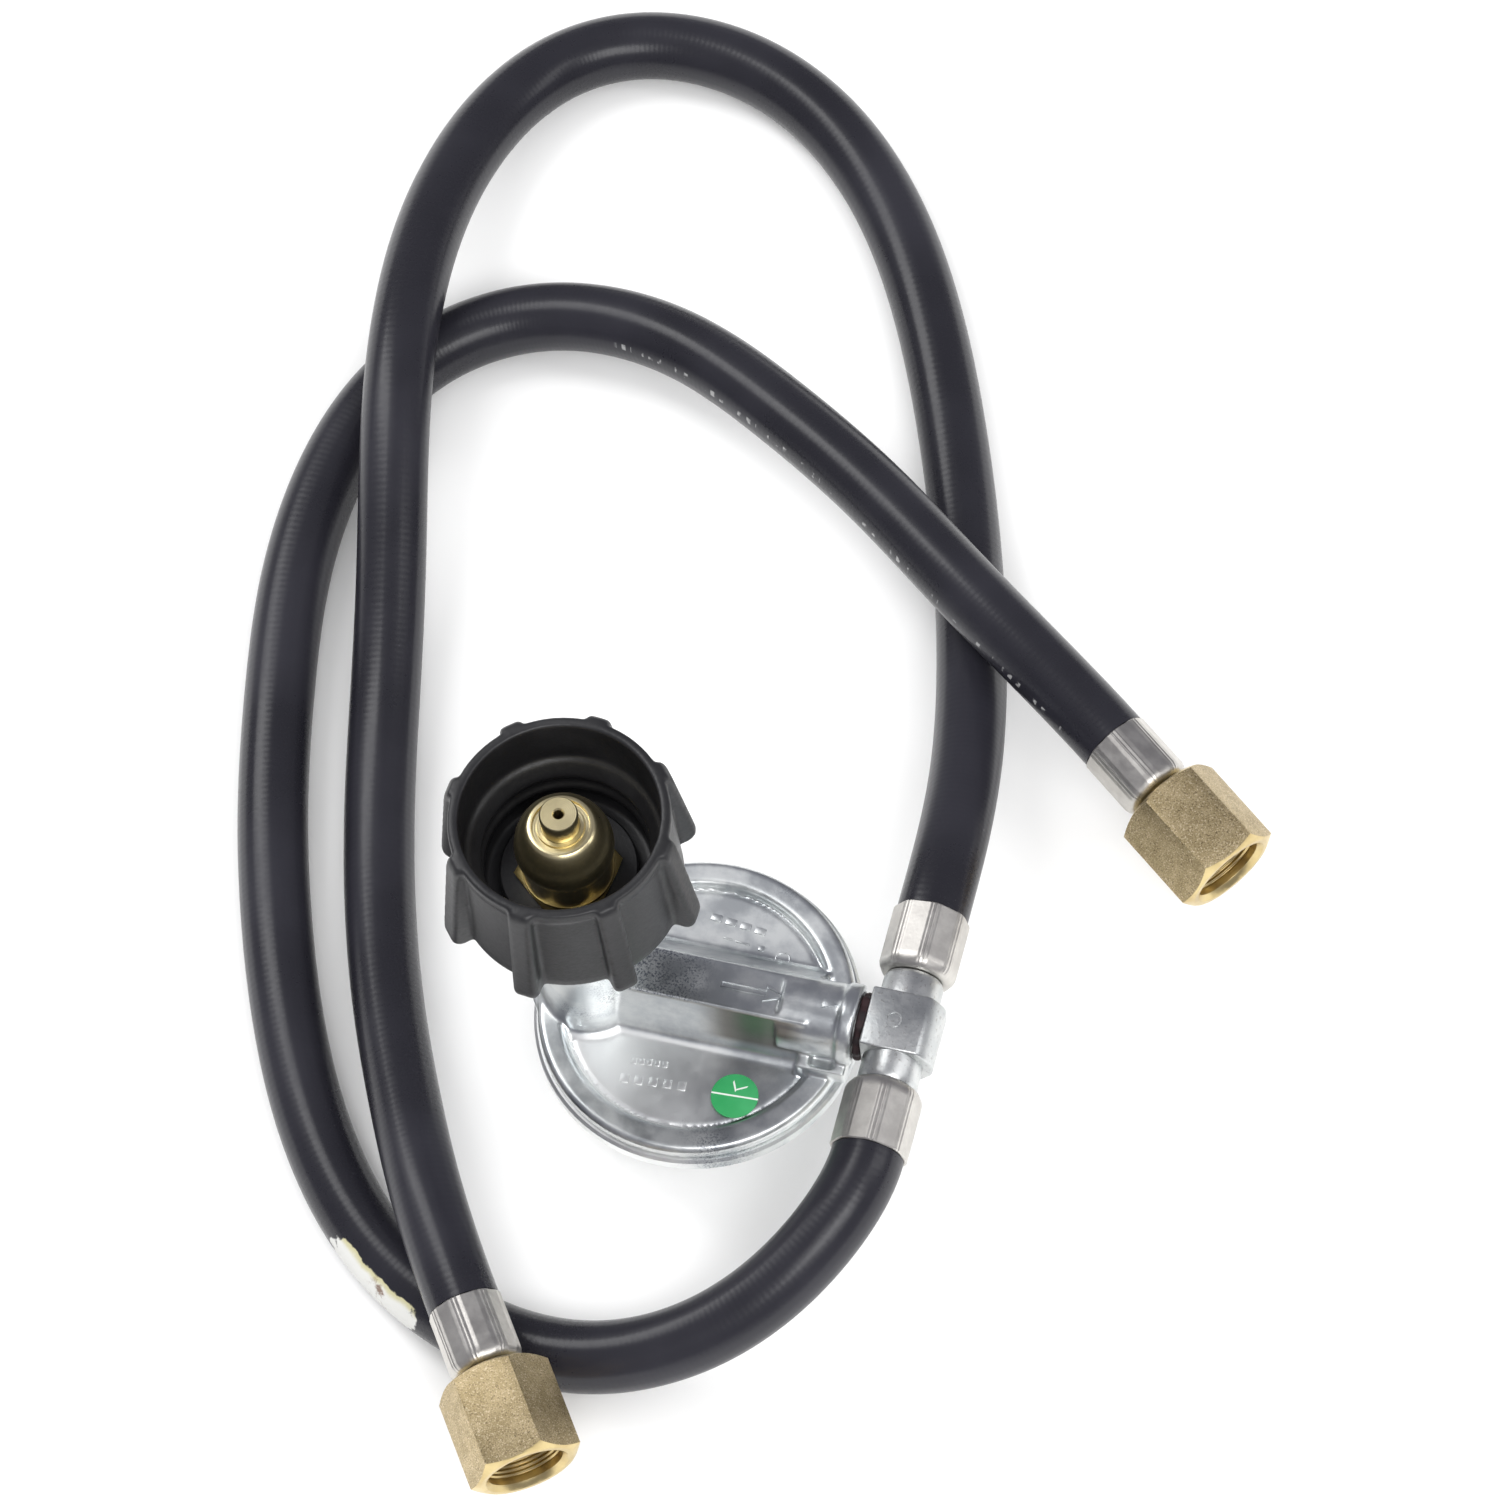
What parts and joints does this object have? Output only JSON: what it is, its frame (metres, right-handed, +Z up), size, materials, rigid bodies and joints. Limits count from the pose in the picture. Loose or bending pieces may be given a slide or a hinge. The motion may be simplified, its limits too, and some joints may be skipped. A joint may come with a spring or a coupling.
{
  "type": "gas regulator hose",
  "caption": "Low-pressure gas regulator with a hand-tightened cylinder coupling, an outlet tee and rubber hoses that end in flare swivel nuts.",
  "frame": {"origin": "centre of the flat underside of the closing cap, on the axis of the regulator's round body", "axes": "+Z up along the round body's axis and parallel to the inlet coupling's axis; +X along the outlet towards the tee; the tee's run is along Y"},
  "size_m": [0.228, 0.3541, 0.1047],
  "materials": {
    "zinc": "bright plated die casting",
    "plated": "satin nickel plate",
    "brass": "machined and sand-blasted",
    "steel": "plain",
    "black_plastic": "matte",
    "hose_rubber": "semi-gloss",
    "soft_rubber": "matte",
    "sealant": "dried thread sealant",
    "sticker_green": "printed film"
  },
  "bodies": {
    "regulator": {"body_casting": "zinc", "bonnet": "zinc", "bonnet_cap": "zinc", "vent_screen": "steel", "main_spring": "steel", "diaphragm": "soft_rubber", "lever_pin": "steel", "orifice": "brass", "inlet_nipple": "brass", "flow_check_spring": "steel", "thermal_bushing": "black_plastic", "thread_sealant": "sealant", "tee_fitting": "plated", "tee_ferrule_a": "plated", "tee_ferrule_b": "plated", "hose_a": "hose_rubber", "hose_b": "hose_rubber", "end_ferrule_a": "plated", "end_ferrule_b": "plated", "hose_stem_a": "brass", "hose_stem_b": "brass", "qc_sticker": "sticker_green"},
    "coupling": {"coupling_nut": "black_plastic"},
    "flow_check": {"flow_check_tip": "brass"},
    "diaphragm_centre": {"diaphragm_plate": "steel", "diaphragm_stem": "steel"},
    "valve_lever": {"lever": "steel"},
    "valve": {"valve_holder": "brass", "valve_disc": "soft_rubber"},
    "setting_screw": {"adjusting_screw": "steel"},
    "flare_a": {"flare_nut_a": "brass"},
    "flare_b": {"flare_nut_b": "brass"}
  },
  "joints": [
    {"name": "coupling_nut_spin", "type": "hinge", "parent": "regulator", "child": "coupling", "pos_m": [-0.0225, 0, 0.088], "axis": [0, 0, 1], "continuous": true},
    {"name": "flow_check_slide", "type": "slide", "parent": "regulator", "child": "flow_check", "axis": [0, 0, 1], "range_m": [-0.0025, 0], "stiffness_N_per_m": 400, "springref_m": 0.004, "deforming": ["flow_check_spring"]},
    {"name": "diaphragm_slide", "type": "slide", "parent": "regulator", "child": "diaphragm_centre", "axis": [0, 0, 1], "range_m": [-0.0016, 0], "stiffness_N_per_m": 600, "springref_m": 0.003, "deforming": ["main_spring", "diaphragm"]},
    {"name": "lever_pivot", "type": "hinge", "parent": "regulator", "child": "valve_lever", "pos_m": [0.009, 0, 0.0275], "axis": [0, 1, 0], "range_deg": [-10.2, 0]},
    {"name": "valve_slide", "type": "slide", "parent": "regulator", "child": "valve", "axis": [1, 0, 0], "range_m": [-0.0009, 0]},
    {"name": "setting_screw_turn", "type": "hinge", "parent": "regulator", "child": "setting_screw", "pos_m": [0, 0, 0.007], "axis": [0, 0, 1], "range_deg": [-180, 180]},
    {"name": "flare_nut_a_spin", "type": "hinge", "parent": "regulator", "child": "flare_a", "pos_m": [-0.029, -0.0751, 0.0255], "axis": [0.5714, -0.8198, -0.0373], "continuous": true},
    {"name": "flare_nut_b_spin", "type": "hinge", "parent": "regulator", "child": "flare_b", "pos_m": [0.0699, 0.0779, 0.0253], "axis": [0.797, -0.5977, -0.0872], "continuous": true}
  ],
  "couplings": [
    {"joint": "lever_pivot", "follows": "diaphragm_slide", "rad_per_m": 111.1},
    {"joint": "valve_slide", "follows": "diaphragm_slide", "ratio": 0.5555}
  ]
}
